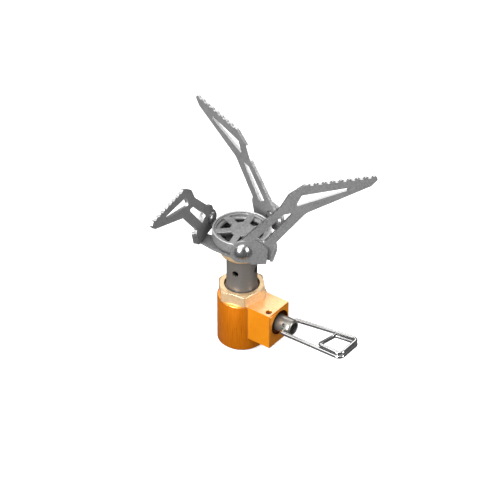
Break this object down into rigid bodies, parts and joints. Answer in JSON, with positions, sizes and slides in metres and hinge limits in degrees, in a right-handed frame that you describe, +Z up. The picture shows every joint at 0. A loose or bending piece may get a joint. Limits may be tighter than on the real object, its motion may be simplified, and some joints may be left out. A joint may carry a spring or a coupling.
{
  "type": "canister stove",
  "caption": "Small folding gas stove that screws onto a canister: valve body with wire handle, mixing tube, round burner and swing-out sheet pot supports.",
  "frame": {"origin": "centre of the base face, on the axis of the canister thread", "axes": "+Z up along the mixing tube, +X along the valve spindle towards the wire handle"},
  "size_m": [0.0782, 0.0656, 0.068],
  "materials": {
    "anodised_orange": "anodised, fine turned grain",
    "brass": "machined",
    "tube_steel": "satin",
    "matt_steel": "bead blasted",
    "polished_steel": "polished",
    "seal_rubber": "matt"
  },
  "bodies": {
    "stove": {"valve_body": "anodised_orange", "canister_pin": "brass", "gas_filter": "brass", "canister_seal": "seal_rubber", "gland_nut": "brass", "stop_pin": "polished_steel", "hex_fitting": "brass", "jet": "brass", "mixing_tube": "tube_steel", "burner_collar": "brass", "support_bracket": "matt_steel", "burner_cup": "matt_steel", "burner_plate": "matt_steel", "flame_ring": "matt_steel", "burner_baffle": "matt_steel", "rivet_front": "polished_steel", "rivet_back": "polished_steel", "rivet_left": "polished_steel"},
    "spindle_slide": {"spindle_seal": "seal_rubber"},
    "spindle": {"spindle": "polished_steel"},
    "valve_handle": {"valve_handle": "polished_steel"},
    "pot_support_front": {"pot_support_front": "matt_steel"},
    "pot_support_back": {"pot_support_back": "matt_steel"},
    "pot_support_left": {"pot_support_left": "matt_steel"}
  },
  "joints": [
    {"name": "support_front_fold", "type": "hinge", "parent": "stove", "child": "pot_support_front", "pos_m": [0.00711, -0.00909, 0.0433], "axis": [0.682, -0.7314, 0], "range_deg": [0, 221]},
    {"name": "support_back_fold", "type": "hinge", "parent": "stove", "child": "pot_support_back", "pos_m": [0.00432, 0.01071, 0.0433], "axis": [0.2924, 0.9563, 0], "range_deg": [0, 221]},
    {"name": "support_left_fold", "type": "hinge", "parent": "stove", "child": "pot_support_left", "pos_m": [-0.01143, -0.00161, 0.0433], "axis": [-0.9744, -0.225, 0], "range_deg": [0, 221]},
    {"name": "valve_travel", "type": "slide", "parent": "stove", "child": "spindle_slide", "axis": [1, 0, 0], "range_m": [0, 0.00106]},
    {"name": "valve_turn", "type": "hinge", "parent": "spindle_slide", "child": "spindle", "pos_m": [0.0184, 0, 0.0128], "axis": [1, 0, 0], "range_deg": [0, 540]},
    {"name": "handle_fold", "type": "hinge", "parent": "spindle", "child": "valve_handle", "pos_m": [0.0184, 0, 0.0128], "axis": [0, -1, 0], "range_deg": [-92, 88]}
  ],
  "couplings": [
    {"joint": "support_back_fold", "follows": "support_front_fold", "ratio": 1},
    {"joint": "support_left_fold", "follows": "support_front_fold", "ratio": 1},
    {"joint": "handle_fold", "follows": "support_front_fold", "ratio": -0.415},
    {"joint": "valve_travel", "follows": "valve_turn", "m_per_rad": 0.00011141}
  ]
}
